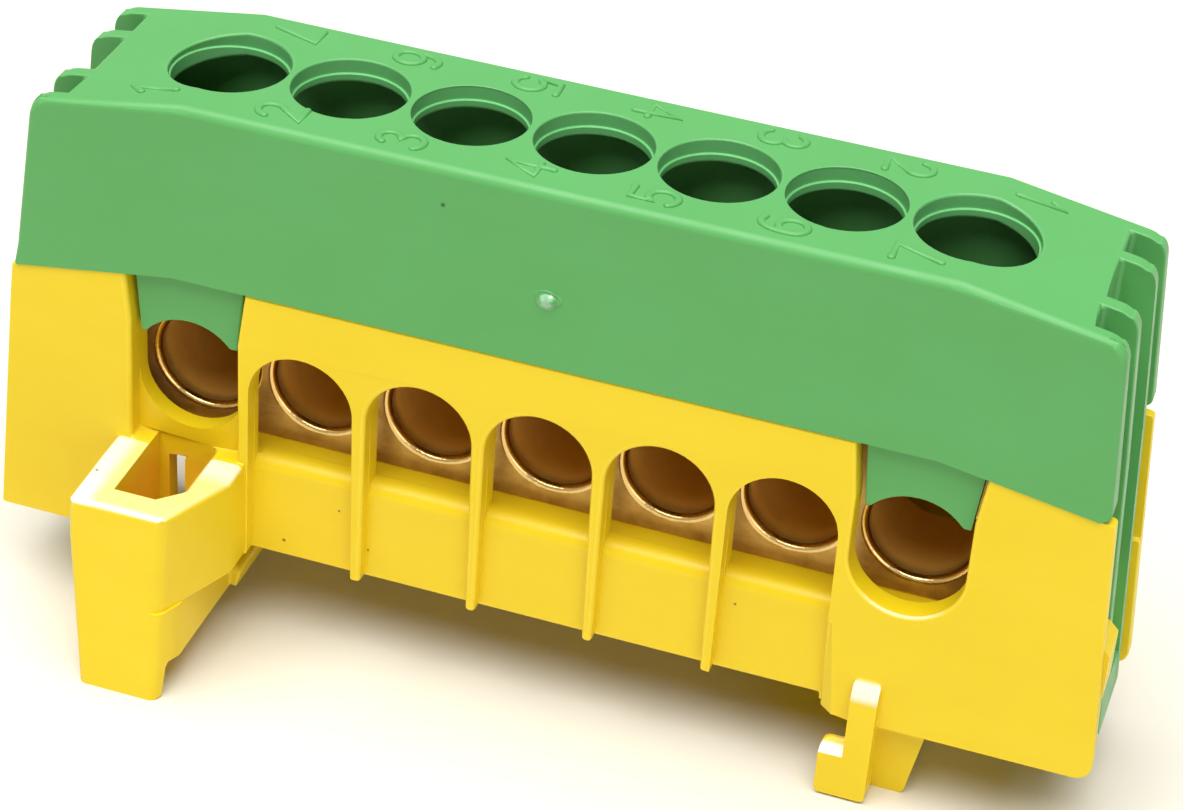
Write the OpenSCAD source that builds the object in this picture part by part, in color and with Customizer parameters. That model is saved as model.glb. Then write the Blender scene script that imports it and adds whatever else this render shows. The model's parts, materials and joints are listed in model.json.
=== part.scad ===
// Earth terminal block for a 35 mm rail, in millimetres, +Z up, wires enter from -Y.
// The row frame's origin is the middle of the bounding box at the foot bottoms.

/* [Terminal row] */
// Distance from one clamping point to the next
pitch = 6.5; // [6.4:0.1:6.8]
// Diameter of the wire bores in the middle of the bar
wire_d = 5.4; // [4.8:0.1:5.5]
// Diameter of the two end wire bores
end_wire_d = 5.6; // [5.2:0.1:5.8]
// Thread diameter of the clamp screws
screw_d = 5; // [4:0.1:5]
// Length of a clamp screw
screw_l = 8; // [6:0.5:9]
// Radial play of a clamp screw in its tapped hole
screw_play = 0.08; // [0.03:0.01:0.1]
// Chamfer round the tip of a clamp screw
screw_tip = 0.6; // [0.2:0.1:1]

/* [Terminal bar] */
// Depth of the bar, front to back
bar_w = 6; // [5.4:0.1:6.4]
// Height of the bar
bar_h = 9; // [8:0.1:9.4]
// Height of the wire bores above the bar's underside
wire_up = 3.95; // [3.8:0.05:4.2]

/* [Base] */
// Depth of the base, front face to back face
base_d = 11.9; // [11.6:0.1:12.6]
// Distance from the base's front face to the middle of the bar
bar_set = 6.2; // [6.1:0.05:6.4]
// Height from the rail seat to the joint with the cover
base_h = 17; // [16.8:0.1:18]
// Height of the floor's top above the rail seat
floor_up = 6.35; // [6:0.05:6.6]
// Thickness of the floor under the bar
floor_t = 1.2; // [1:0.1:1.6]
// Thickness of the front wall at the ribs
wall = 2.1; // [1.9:0.05:2.2]
// Thickness of the back wall
back_wall = 1.6; // [1.4:0.05:1.7]
// Thickness of the walls beyond the ends
wing_t = 0.85; // [0.75:0.05:1]
// Set back of the back wall beyond the ends
wing_set = 1; // [0.6:0.05:1.1]
// Thickness of the front wall at the end notch
notch_wall = 1.5; // [1.3:0.05:1.7]
// Rounding of the sill in front of the bar
sill_r = 0.8; // [0.4:0.05:0.9]
// Set back of the lower wall behind the front face
recess = 1; // [0.7:0.05:1.1]
// Distance from the last clamping point to the end of the base
end_reach = 10.85; // [10.3:0.05:12]
// Thickness of a rib at the arches
rib_t = 0.72; // [0.6:0.02:0.9]
// Thickness of a rib at its lower end
rib_low_t = 0.53; // [0.4:0.01:0.7]
// Half width of the open notches over the end bores
notch_r = 3; // [2.95:0.01:3.05]

/* [Feet] */
// Width of the rail that the feet hold
rail_w = 35; // [34.6:0.1:35.4]
// Play of the rail between the feet
rail_play = 0.1; // [0:0.05:0.4]
// Gap for the rail's edge above the hooks
rail_gap = 1.4; // [1.2:0.1:1.8]
// Height of the rail seat above the foot bottoms
foot_h = 4.9; // [4.6:0.1:5.6]
// Reach of the hook lips under the rail
hook_reach = 1.3; // [0.9:0.1:1.5]
// Distance of the latch foot's rim from the base's front face
latch_out = 6.2; // [5.8:0.1:7]
// Forward lean of the latch foot's front over its height
latch_lean = 0.9; // [0.4:0.1:1.2]
// Wall thickness of the latch foot
latch_wall = 1.65; // [1.4:0.05:1.8]

/* [Cover] */
// Height from the joint to the cover's top
cover_h = 9.8; // [9:0.1:11]
// Depth of the cover's top, front edge to back edge
top_d = 10.95; // [10.8:0.05:11.2]
// Thickness of the cover's top
top_t = 1.45; // [1.3:0.05:1.9]
// Diameter of the access holes
access_d = 6.1; // [5.6:0.05:6.1]
// Extra diameter of the two end access holes
end_extra = 0.2; // [0:0.05:0.2]
// Depth of the wider upper part of the access holes
access_rim = 0.8; // [0.5:0.05:1]
// Step in the access holes' wall
access_step = 0.12; // [0.05:0.01:0.2]
// Fall of the cover's top per millimetre beyond the last holes
top_fall = 0.165; // [0.1:0.005:0.2]
// Thickness of the cover's end ribs
end_rib_t = 0.8; // [0.6:0.05:1]
// Play between the cover and the base
cover_play = 0.15; // [0.1:0.01:0.2]

/* [Hidden] */
ways = 7;
far = 40;
eps = 0.01;
fine = 64;
end_x = pitch * (ways - 1) / 2;

// Heights
seat_z = foot_h;
mid_z = seat_z + 0.4;
floor_z = seat_z + floor_up;
under_z = floor_z - floor_t;
joint_z = seat_z + base_h;
joint_end_z = joint_z - 1.37;
top_z = joint_z + cover_h;
bar_top_z = floor_z + bar_h;
wire_z = floor_z + wire_up;
arch_z = wire_z + 0.65;
arch_r = (pitch - rib_t) / 2;
crease_z = arch_z + arch_r;
sill_z = floor_z + 0.1;
tab_z = seat_z + 8.2;
loop_z = seat_z + 2.4;
lip_z = seat_z - rail_gap;
rim_z = floor_z + 0.05;
latch_under_z = seat_z + 0.55;
latch_low_z = 2;

// Depths, from the middle of the bar
front_y = -bar_set;
back_y = base_d - bar_set;
in_front_y = front_y + wall;
in_back_y = back_y - back_wall;
low_y = front_y + recess;
rim_y = front_y - latch_out;
toe_y = rim_y - latch_lean;
hook_y = front_y - 0.55;
hook_back_y = hook_y + 1;
hook_wall_y = hook_y + 1.75;
frame_y = -(toe_y + back_y) / 2;

// Lengths, from the middle of the row
half_x = end_x + end_reach;
base_top_x = half_x - 1.15;
cover_top_x = half_x - 2.15;
end_face_x = half_x - 3.95;
end_wall_t = 1;
base_end_x = half_x - 2.05;
bar_x = end_face_x - end_wall_t - 0.1;
bend_x = end_x + 0.5;
joint_bend_x = end_x + 0.7;
rail_mid_x = 0.15;
latch_x = rail_mid_x - (rail_w + rail_play) / 2;
hook_x = rail_mid_x + (rail_w + rail_play) / 2;
latch_left_x = latch_x - 5.95;

// Fall of the joint line from its bend to the end of the cover
joint_fall = (joint_z - joint_end_z) / (half_x - 1.3 - joint_bend_x);
// Draft of the cover's ends
end_draft = 0.081;
fall_z = top_z - top_fall * (cover_top_x - bend_x);
cover_low_x = cover_top_x + end_draft * (fall_z - joint_end_z);
// How far a rounded lower end corner pulls in, for each unit of its radius
end_lean = atan((half_x - base_top_x) / (joint_end_z - seat_z));
end_pull = 1 / cos(end_lean) + tan(end_lean) - 1;

// A point on the cover's end line at a height
function cover_end(z) = cover_top_x + end_draft * (fall_z - z);

// Joint height at a distance from the middle
function joint_at(x) = joint_z - max(0, x - joint_bend_x) * joint_fall;

function unit(v) = v / norm(v);

// One corner of an outline, rounded by its third value
function corner(a, b, c) =
  let (p = [b[0], b[1]])
  let (r = len(b) > 2 ? b[2] : 0)
  r <= 0 ? [p] :
  let (u = unit([a[0], a[1]] - p))
  let (v = unit([c[0], c[1]] - p))
  let (half = acos(u * v) / 2)
  let (m = p + unit(u + v) * r / sin(half))
  let (s = p + u * r / tan(half) - m)
  let (e = p + v * r / tan(half) - m)
  let (a0 = atan2(s[1], s[0]))
  let (turn = (atan2(e[1], e[0]) - a0 + 900) % 360 - 180)
  [for (k = [0:6]) m + r * [cos(a0 + turn * k / 6), sin(a0 + turn * k / 6)]];

// An outline with its corners rounded
function rounded(pts) =
  let (n = len(pts))
  [for (i = [0:n - 1]) each corner(pts[(i + n - 1) % n], pts[i], pts[(i + 1) % n])];

// An X, Z outline with its mirror image, from its right half
function both(pts) =
  let (n = len(pts))
  concat(pts, [for (i = [n - 1:-1:0]) len(pts[i]) > 2
    ? [-pts[i][0], pts[i][1], pts[i][2]] : [-pts[i][0], pts[i][1]]]);

// Extrudes an X, Z outline from y0 to y1
module along_y(y0, y1) {
  translate([0, y1, 0])
    rotate([90, 0, 0])
      linear_extrude(y1 - y0)
        children();
}

// Extrudes a Y, Z outline from x0 to x1
module along_x(x0, x1) {
  translate([x0, 0, 0])
    rotate([90, 0, 90])
      linear_extrude(x1 - x0)
        children();
}

// A box from its two corners
module span(a, b) {
  translate(a)
    cube(b - a);
}

// A cylinder along Y
module rod_y(x, z, r, y0, y1) {
  translate([x, y1, z])
    rotate([90, 0, 0])
      cylinder(r = r, h = y1 - y0, $fn = fine);
}

// Moves the drawing from the bar's middle plane to the row frame
module place() {
  translate([0, frame_y, 0])
    children();
}

// Position of a clamping point along the row
function way_x(i) = (i - (ways - 1) / 2) * pitch;

// Base

// Outer block of the base, drafted at the ends
module base_block() {
  intersection() {
    along_y(-far, far)
      polygon(rounded([
        [joint_bend_x, joint_z],
        [base_top_x, joint_at(base_top_x), 0.2],
        [half_x, seat_z, 0.9],
        [-half_x + 0.7 * end_pull, seat_z, 0.2],
        [-base_top_x, joint_at(base_top_x), 0.12],
        [-joint_bend_x, joint_z]
      ]));
    along_x(-far, far)
      polygon([
        [front_y, seat_z - 1],
        [front_y, crease_z],
        [front_y + 0.15, joint_z + 1],
        [back_y - 0.15, joint_z + 1],
        [back_y, crease_z],
        [back_y, seat_z - 1]
      ]);
  }
}

// Room for the bar, the cover's end tabs and the hollow underside
module base_hollow() {
  span([-end_face_x - 0.1, in_front_y, floor_z], [end_face_x + 0.1, in_back_y, top_z]);
  span([-far, in_front_y, tab_z - 0.1], [far, in_back_y, top_z]);
  span([-base_end_x + 1.2, in_front_y, -1], [base_end_x - 1.2, in_back_y, under_z]);
  for (s = [0, 1])
    mirror([s, 0, 0])
      union() {
        span([base_end_x, front_y + wing_t, -1], [far, back_y - wing_set - wing_t, top_z]);
        span([base_end_x, back_y - wing_set, -1], [far, far, top_z]);
      }
  span([end_x - notch_r - rib_t - 0.1, front_y + notch_wall, floor_z],
       [end_x + notch_r + 0.6, in_front_y + eps, top_z]);
  span([-end_x + notch_r - 0.05, front_y + notch_wall, floor_z],
       [-end_x + notch_r + rib_t + 0.1, in_front_y + eps, top_z]);
}

// Wedge lugs on the ends that hold the cover's loops
module end_lugs() {
  for (s = [0, 1])
    mirror([s, 0, 0])
      along_y(-1.6, 1.6)
        polygon([
          [base_end_x - 0.1, tab_z - 0.5],
          [base_end_x, tab_z - 0.5],
          [base_end_x + 1.3, loop_z + 0.5],
          [base_end_x + 1.3, loop_z + 0.2],
          [base_end_x - 0.1, loop_z + 0.2]
        ]);
}

// Guides on the ends between the front wall and the cover's loops
module end_guides() {
  leg_y = 2.27 + end_rib_t / 2 + cover_play;
  for (s = [0, 1])
    mirror([s, 0, 0])
      along_y(front_y + wing_t - eps, -leg_y)
        polygon([
          [base_end_x - 0.1, tab_z - 0.4],
          [base_end_x + 1.3, tab_z - 0.4],
          [base_end_x + 1.75, tab_z - 0.85],
          [base_end_x + 1.75, tab_z - 3.6],
          [base_end_x - 0.1, tab_z - 4.4]
        ]);
}

// One arched opening with its recess below
module arch_cut(x) {
  low = (pitch - rib_low_t) / 2;
  along_y(front_y - 1, low_y)
    polygon([
      [x - low, mid_z - 1],
      [x - arch_r, arch_z],
      [x + arch_r, arch_z],
      [x + low, mid_z - 1]
    ]);
  span([x - arch_r, front_y - 1, sill_z], [x + arch_r, in_front_y + eps, arch_z]);
  rod_y(x, arch_z, arch_r, front_y - 1, in_front_y + eps);
  along_x(x - arch_r, x + arch_r)
    polygon(concat([[low_y - eps, sill_z + eps], [low_y - eps, sill_z - sill_r]],
      [for (k = [0:8]) [low_y + sill_r * (1 - cos(k * 11.25)),
                        sill_z - sill_r * (1 - sin(k * 11.25))]],
      [[low_y + sill_r, sill_z + eps]]));
}

// One open notch over an end bore, as an X, Z outline
module notch_outline(x) {
  polygon([
    [x - notch_r, wire_z],
    [x - notch_r, crease_z],
    [x - notch_r - 0.38, joint_z + 0.1],
    [x - notch_r - 0.38, joint_z + 2],
    [x + notch_r + 0.38, joint_z + 2],
    [x + notch_r + 0.38, joint_z + 0.1],
    [x + notch_r, crease_z],
    [x + notch_r, wire_z]
  ]);
}

module notch_cut(x) {
  along_y(front_y - 1, in_front_y + eps)
    notch_outline(x);
  rod_y(x, wire_z, notch_r, front_y - 1, in_front_y + eps);
}

// The notch over the latch foot is set back in a channel of its own
module latch_channel() {
  intersection() {
    union() {
      along_y(-far, far)
        notch_outline(-end_x);
      span([-end_x - notch_r, -far, seat_z - 1], [-end_x + notch_r, far, wire_z]);
    }
    along_x(-far, far)
      polygon([
        [-far, seat_z - 2],
        [low_y, seat_z - 2],
        [low_y, floor_z],
        [low_y + 0.3, crease_z],
        [low_y + 0.3, top_z],
        [-far, top_z]
      ]);
  }
}

// Lean of the ribs' fronts below the arches
module rib_lean() {
  along_x(-end_x + notch_r, end_x - notch_r - rib_t)
    polygon([
      [front_y - 1, crease_z],
      [front_y, crease_z],
      [front_y + 0.25, mid_z],
      [front_y + 0.25, seat_z - 1],
      [front_y - 1, seat_z - 1]
    ]);
}

// Walls that hold the bar in the base
module bar_stops() {
  for (i = [0:ways - 2])
    span([way_x(i) + pitch / 2 - 0.4, bar_w / 2 + 0.05, floor_z - eps],
         [way_x(i) + pitch / 2 + 0.4, in_back_y + eps, bar_top_z - 1]);
  for (s = [-1, 1])
    span([s * (bar_x - 1.2) - 0.5, in_front_y - eps, floor_z - eps],
         [s * (bar_x - 1.2) + 0.5, -bar_w / 2 - 0.05, bar_top_z - 1]);
}

// Latch foot: a box with an open slot, its wall running back under the base
module latch_upper() {
  linear_extrude(rim_z - latch_under_z)
    polygon([
      [latch_left_x, low_y + eps],
      [latch_left_x, front_y - 2],
      [latch_left_x + 0.15, toe_y - 1],
      [latch_x - 0.45, toe_y - 1],
      [latch_x - 0.45, rim_y + 0.2],
      [latch_x + 1.3, front_y - 1.7],
      [latch_x + 1.3, low_y + eps]
    ]);
}

module latch_lower() {
  linear_extrude(latch_under_z + eps)
    polygon([
      [latch_left_x, low_y + eps],
      [latch_left_x, front_y - 2],
      [latch_left_x + 0.15, toe_y - 1],
      [latch_x - 0.45, toe_y - 1],
      [latch_x - 0.45, rim_y - 0.2],
      [latch_x, rim_y + 0.9],
      [latch_x, low_y + eps]
    ]);
}

// Front face of the latch foot, and its drafted sides
module latch_limits() {
  intersection() {
    along_x(-far, 0)
      polygon([
        [toe_y, 0],
        [rim_y, rim_z],
        [0, rim_z],
        [0, latch_low_z],
        [rim_y + latch_wall, latch_low_z],
        [rim_y + latch_wall - 0.3, 0]
      ]);
    along_y(-far, far)
      polygon(rounded([
        [latch_left_x, rim_z],
        [latch_left_x, rim_z - 1],
        [latch_left_x + 0.85, 0, 0.25],
        [latch_x - 0.1, 0, 0.85],
        [latch_x, latch_low_z],
        [latch_x, latch_under_z],
        [latch_x + 1.3, latch_under_z],
        [latch_x + 1.3, rim_z]
      ]));
  }
}

// Slot in the latch foot, stepped on its right so that the lower wall stays whole
module latch_slot() {
  x0 = latch_left_x + latch_wall + 0.25;
  translate([0, 0, -1])
    linear_extrude(latch_under_z + 3)
      polygon([
        [x0, low_y],
        [x0 + 0.05, rim_y + latch_wall],
        [latch_x - 2, rim_y + latch_wall],
        [latch_x - 1.6, rim_y + latch_wall + 1.15],
        [latch_x - 1.6, low_y]
      ]);
  translate([0, 0, latch_under_z + 1.8])
    linear_extrude(rim_z)
      polygon([
        [x0, low_y],
        [x0 + 0.05, rim_y + latch_wall],
        [latch_x - 1.75, rim_y + latch_wall],
        [latch_x - 0.65, rim_y + latch_wall + 1.15],
        [latch_x - 0.65, low_y]
      ]);
}

module latch_foot() {
  difference() {
    intersection() {
      union() {
        latch_upper_placed();
        latch_lower();
      }
      latch_limits();
    }
    latch_slot();
  }
  latch_wall_back();
}

module latch_upper_placed() {
  translate([0, 0, latch_under_z])
    latch_upper();
}

// Latch wall under the base with its nose, and a heel to stand on at the back
module latch_wall_back() {
  along_y(low_y - eps, back_y)
    polygon([
      [latch_x - 1.6, under_z + eps],
      [latch_x - 1.6, latch_low_z],
      [latch_x, latch_low_z],
      [latch_x, under_z + eps]
    ]);
  along_y(front_y + 1.2, back_y)
    polygon([
      [latch_x - eps, lip_z],
      [latch_x - eps, latch_low_z],
      [latch_x + 0.35, latch_low_z],
      [latch_x + 0.7, lip_z - 0.2]
    ]);
  along_y(back_y - 4, back_y)
    polygon([
      [latch_x - 1.6, latch_low_z + eps],
      [latch_x - 1.6, 0],
      [latch_x - 0.2, 0],
      [latch_x, latch_low_z + eps]
    ]);
}

// Narrow slit behind the latch slot that frees the latch
module latch_slit() {
  span([latch_x - 3.4, low_y - 0.5, -1], [latch_x - 2.48, in_front_y + eps, rim_z - 1.2]);
}

// Hook foot: a wall under the base with a lip at the back and a lipped plate on its front
module hook_foot() {
  along_y(hook_wall_y, back_y)
    polygon(rounded([
      [hook_x, under_z + eps],
      [hook_x, 0, 0.2],
      [hook_x + 3.1, 0, 0.3],
      [hook_x + 4, seat_z],
      [hook_x + 4, seat_z + eps],
      [hook_x + 1.5, seat_z + 1.5],
      [hook_x + 1.5, under_z + eps]
    ]));
  along_y(back_y - 1.75, back_y)
    polygon(rounded([
      [hook_x + 0.5, lip_z],
      [hook_x, lip_z],
      [hook_x - hook_reach, lip_z - 0.2, 0.3],
      [hook_x - hook_reach, 0, 0.4],
      [hook_x + 0.5, 0]
    ]));
  along_x(hook_x, hook_x + 1.42)
    polygon([
      [hook_y, 0.15],
      [hook_y, seat_z + 1.7],
      [front_y, seat_z + 2.9],
      [hook_wall_y + eps, seat_z + 2.9],
      [hook_wall_y + eps, 0.15]
    ]);
  along_x(hook_x - hook_reach, hook_x + eps)
    polygon([
      [hook_y, 0.15],
      [hook_y, lip_z - 0.7],
      [hook_y + 0.7, lip_z - 0.1],
      [hook_back_y, lip_z - 0.1],
      [hook_back_y, 0.15]
    ]);
}

module base() {
  color([0.95, 0.82, 0.16])
    place() {
      difference() {
        union() {
          difference() {
            base_block();
            base_hollow();
            for (i = [1:ways - 2])
              arch_cut(way_x(i));
            notch_cut(-end_x);
            notch_cut(end_x);
            latch_channel();
            rib_lean();
            span([-end_x + notch_r - eps, -far, -1],
                 [end_x - notch_r - rib_t, low_y + 0.6, mid_z]);
          }
          bar_stops();
          end_lugs();
          end_guides();
          latch_foot();
          hook_foot();
        }
        latch_slit();
      }
    }
}

// Cover

// Outer shape of the cover above the joint
module cover_block() {
  intersection() {
    along_y(-far, far)
      polygon(rounded([
        [bend_x, top_z],
        [cover_top_x, fall_z, 1.3],
        [cover_low_x, joint_at(cover_low_x), 0.45],
        [joint_bend_x, joint_z],
        [-joint_bend_x, joint_z],
        [-cover_low_x, joint_at(cover_low_x), 0.12],
        [-cover_top_x, fall_z, 1.3],
        [-bend_x, top_z]
      ]));
    along_x(-far, far)
      polygon([
        [-top_d / 2, top_z],
        [front_y - 0.05, joint_end_z],
        [front_y - 0.05, joint_end_z - 1],
        [back_y, joint_end_z - 1],
        [back_y, joint_end_z],
        [top_d / 2, top_z]
      ]);
  }
}

// Hollow of the cover
module cover_hollow() {
  x = end_face_x - end_wall_t;
  intersection() {
    along_y(-far, far)
      polygon(both([
        [bend_x, top_z - top_t],
        [x, top_z - top_t - top_fall * (x - bend_x)],
        [x, joint_end_z - 2]
      ]));
    along_x(-far, far)
      polygon([
        [-top_d / 2 + 1, top_z],
        [in_front_y - 0.7, joint_end_z - 2],
        [in_back_y + 0.4, joint_end_z - 2],
        [top_d / 2 - 1, top_z]
      ]);
  }
}

// Recesses between the ribs of the ends
module end_pockets() {
  rib_y = 2.27;
  side_y = top_d / 2 - 0.78;
  for (s = [-1, 1])
    translate([s > 0 ? end_face_x : -end_face_x - far, 0, 0]) {
      span([0, -side_y, -1], [far, -rib_y - end_rib_t / 2, top_z + 1]);
      span([0, -rib_y + end_rib_t / 2, -1], [far, rib_y - end_rib_t / 2, top_z + 1]);
      span([0, rib_y + end_rib_t / 2, -1], [far, side_y, top_z + 1]);
    }
}

// End tabs in the base, and the loops that snap over the base's lugs
module end_tabs() {
  rib_y = 2.27;
  loop_x = base_end_x + cover_play;
  for (s = [0, 1])
    mirror([s, 0, 0]) {
      span([end_face_x - end_wall_t, in_front_y + cover_play, tab_z],
           [end_face_x, in_back_y - cover_play, joint_z]);
      for (y = [-rib_y, rib_y])
        along_y(y - end_rib_t / 2, y + end_rib_t / 2)
          polygon([
            [end_face_x - eps, tab_z],
            [loop_x, tab_z],
            [loop_x, seat_z + 0.2],
            [cover_end(seat_z + 0.2) - 0.2, seat_z + 0.2],
            [cover_end(joint_z), joint_z],
            [end_face_x - eps, joint_z]
          ]);
      along_y(-rib_y, rib_y)
        polygon([
          [loop_x, loop_z],
          [loop_x, seat_z + 0.2],
          [cover_end(seat_z + 0.2) - 0.2, seat_z + 0.2],
          [cover_end(loop_z) - 0.2, loop_z]
        ]);
    }
}

// One screwdriver hole with its small step
module access_hole(x, d) {
  translate([x, 0, top_z - top_t - 1])
    cylinder(d = d - 2 * access_step, h = top_t + 2, $fn = fine);
  translate([x, 0, top_z - access_rim])
    cylinder(d = d, h = top_t, $fn = fine);
}

// One tongue over an end wire bore
module tongue(x) {
  low_z = wire_z + 0.85;
  difference() {
    along_y(front_y + 0.63, front_y + 1.6)
      polygon([
        [x - notch_r + 0.38, low_z + 1.85],
        [x - notch_r + 0.02, joint_z + 0.4],
        [x + notch_r + 0.2, joint_z + 0.4],
        [x + notch_r - 0.22, low_z + 1.85]
      ]);
    rod_y(x, low_z, notch_r, front_y, front_y + 3);
  }
}

module cover() {
  color([0.4, 0.67, 0.38])
    place() {
      difference() {
        cover_block();
        cover_hollow();
        end_pockets();
        for (i = [0:ways - 1])
          access_hole(way_x(i) + (i == 0 ? -0.1 : i == ways - 1 ? 0.1 : 0),
                      access_d + (i == 0 || i == ways - 1 ? end_extra : 0));
      }
      end_tabs();
      tongue(-end_x);
      tongue(end_x);
    }
}

// Terminal bar
module terminal_bar() {
  color([0.6, 0.47, 0.2])
    place()
      difference() {
        span([-bar_x, -bar_w / 2, floor_z], [bar_x, bar_w / 2, bar_top_z]);
        for (i = [0:ways - 1]) {
          d = i == 0 || i == ways - 1 ? end_wire_d : wire_d;
          rod_y(way_x(i), wire_z, d / 2, -bar_w, bar_w);
          translate([way_x(i), 0, wire_z])
            cylinder(d = screw_d, h = far, $fn = fine);
        }
      }
}

// Clamp screws, turned back until the wire bores are free
module clamp_screw(i) {
  bore = i == 0 || i == ways - 1 ? end_wire_d : wire_d;
  r = screw_d / 2 - screw_play;
  tip_z = wire_z + bore / 2;
  color([0.72, 0.72, 0.7])
    place()
      difference() {
        translate([way_x(i), 0, tip_z]) {
          cylinder(r1 = r - screw_tip, r2 = r, h = screw_tip, $fn = fine);
          translate([0, 0, screw_tip])
            cylinder(r = r, h = screw_l - screw_tip, $fn = fine);
        }
        span([way_x(i) - 0.45, -far, tip_z + screw_l - 1.3],
             [way_x(i) + 0.45, far, tip_z + screw_l + 1]);
      }
}

module clamp_screw_1() {
  clamp_screw(0);
}

module clamp_screw_2() {
  clamp_screw(1);
}

module clamp_screw_3() {
  clamp_screw(2);
}

module clamp_screw_4() {
  clamp_screw(3);
}

module clamp_screw_5() {
  clamp_screw(4);
}

module clamp_screw_6() {
  clamp_screw(5);
}

module clamp_screw_7() {
  clamp_screw(6);
}

base();
cover();
terminal_bar();
clamp_screw_1();
clamp_screw_2();
clamp_screw_3();
clamp_screw_4();
clamp_screw_5();
clamp_screw_6();
clamp_screw_7();
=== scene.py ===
"""Earth terminal block: mouldings, brass bar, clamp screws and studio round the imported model."""
import json
import math

import bmesh
import bpy
import numpy as np
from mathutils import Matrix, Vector


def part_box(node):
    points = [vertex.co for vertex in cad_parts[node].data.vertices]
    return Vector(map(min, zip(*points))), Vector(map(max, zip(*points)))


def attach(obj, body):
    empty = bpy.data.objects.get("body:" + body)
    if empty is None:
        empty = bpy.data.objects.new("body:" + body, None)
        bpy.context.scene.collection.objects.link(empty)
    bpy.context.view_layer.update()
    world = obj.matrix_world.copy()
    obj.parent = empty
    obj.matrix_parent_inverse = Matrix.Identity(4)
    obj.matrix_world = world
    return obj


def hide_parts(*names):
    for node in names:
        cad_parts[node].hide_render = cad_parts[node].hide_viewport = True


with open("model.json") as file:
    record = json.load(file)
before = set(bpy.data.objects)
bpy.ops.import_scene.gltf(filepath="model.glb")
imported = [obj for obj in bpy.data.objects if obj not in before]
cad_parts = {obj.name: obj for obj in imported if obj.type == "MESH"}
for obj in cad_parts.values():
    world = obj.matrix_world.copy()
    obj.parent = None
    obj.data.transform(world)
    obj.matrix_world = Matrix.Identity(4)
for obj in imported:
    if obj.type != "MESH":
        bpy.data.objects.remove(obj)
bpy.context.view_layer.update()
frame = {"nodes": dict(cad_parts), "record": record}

bl_info = {
    "name": "Earth terminal block",
    "version": (1, 0, 0),
    "blender": (4, 5, 0),
    "location": "View3D > Sidebar > Terminal",
    "description": "Builds the mouldings, bar, screws and studio of a terminal block",
    "category": "Object",
}

MM = 0.001
WAYS = 7
BODY = "block"

BASE_LO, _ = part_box("base")
_, COVER_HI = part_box("cover")
BAR_LO, BAR_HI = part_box("terminal_bar")
ROW_Y = (BAR_LO.y + BAR_HI.y) / 2
# Pitch of the ways and radius of the access holes, in metres
PITCH = 0.0065
HOLE_R = 0.0031


def length(name, description, default_mm):
    """A length property, given in millimetres and kept in metres."""
    return bpy.props.FloatProperty(
        name=name, description=description, default=default_mm * MM,
        min=0.0, precision=5, unit="LENGTH", subtype="DISTANCE")


def paint(name, description, default):
    """A colour property, scene linear."""
    return bpy.props.FloatVectorProperty(
        name=name, description=description, default=default,
        size=3, min=0.0, max=1.0, subtype="COLOR")


def level(name, description, default):
    """A strength of light."""
    return bpy.props.FloatProperty(name=name, description=description, default=default, min=0.0)


def spread(name, description, default_degrees):
    """An angle property, given in degrees."""
    return bpy.props.FloatProperty(
        name=name, description=description, default=math.radians(default_degrees), subtype="ANGLE")


def triple(name, description, default, subtype, unit="NONE"):
    """A property of three numbers."""
    return bpy.props.FloatVectorProperty(
        name=name, description=description, default=default, size=3, subtype=subtype, unit=unit)


class TerminalSizes(bpy.types.PropertyGroup):
    """Sizes of the detail that the scene adds to the solids."""

    edge_round: length("Edge round", "Rounding of the mouldings' edges", 0.26)
    foot_round: length("Foot round", "Rounding of the latch foot and hook edges", 0.4)
    cover_round: length("Cover round", "Rounding of the cover's long upper edges", 0.48)
    bore_chamfer: length("Bore chamfer", "Chamfer round the wire bores", 0.36)
    bar_round: length("Bar edge", "Broken edges of the brass bar", 0.1)
    digit_height: length("Digit height", "Height of the raised digits", 2.35)
    digit_width: length("Digit width", "Width of the raised digits", 1.3)
    digit_stroke: length("Digit stroke", "Stroke width of the raised digits", 0.42)
    digit_rise: length("Digit rise", "How far the digits stand up", 0.14)
    thread_pitch: length("Thread pitch", "Pitch of the clamp screws' thread", 0.8)
    thread_depth: length("Thread depth", "Depth of the clamp screws' thread", 0.4)
    screw_tip: length("Screw tip", "Chamfer at a clamp screw's tip", 0.6)
    slot_width: length("Slot width", "Width of a clamp screw's slot", 0.9)
    slot_depth: length("Slot depth", "Depth of a clamp screw's slot", 1.3)
    gate_radius: length("Gate mark", "Radius of the gate mark on the cover", 0.64)


class TerminalFinish(bpy.types.PropertyGroup):
    """Colours of the finishes."""

    yellow: paint("Yellow", "Base moulding", (0.85, 0.63, 0.014))
    yellow_deep: paint("Deep yellow", "Flow streaks in the base", (0.83, 0.605, 0.009))
    green: paint("Green", "Cover moulding", (0.1, 0.38, 0.108))
    green_deep: paint("Deep green", "Flow streaks in the cover", (0.095, 0.363, 0.1))
    # Painted highlight: near-white colour on the upward faces of the feet and the right wire notch's edge
    painted_highlight: paint("Scuffs", "Whitened tops of the feet", (0.95, 0.92, 0.78))
    glow: paint("Glow", "Light through thin walls of the latch", (0.95, 0.5, 0.05))
    # Painted light: the upper walls of the access holes are coloured paler than the cover's green
    hole_rim_light: paint("Hole rims", "Upper walls of the access holes", (0.17, 0.56, 0.2))
    shade: paint("Hole shade", "Inside of the access holes", (0.012, 0.075, 0.028))
    gate: paint("Gate", "Torn plastic of the gate mark", (0.42, 0.66, 0.48))
    brass: paint("Brass", "Sawn brass", (0.62, 0.41, 0.13))
    # Painted light: the bore walls are coloured a lighter orange, standing in for light bounced inside the
    # bores
    bore: paint("Bores", "Walls of the wire bores", (0.78, 0.4, 0.075))
    tarnish: paint("Tarnish", "Brown bloom on the brass", (0.33, 0.18, 0.035))
    steel: paint("Screw plating", "Dull plated clamp screws", (0.33, 0.32, 0.29))
    dirt: paint("Specks", "Grit in the mouldings", (0.12, 0.05, 0.01))


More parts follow.
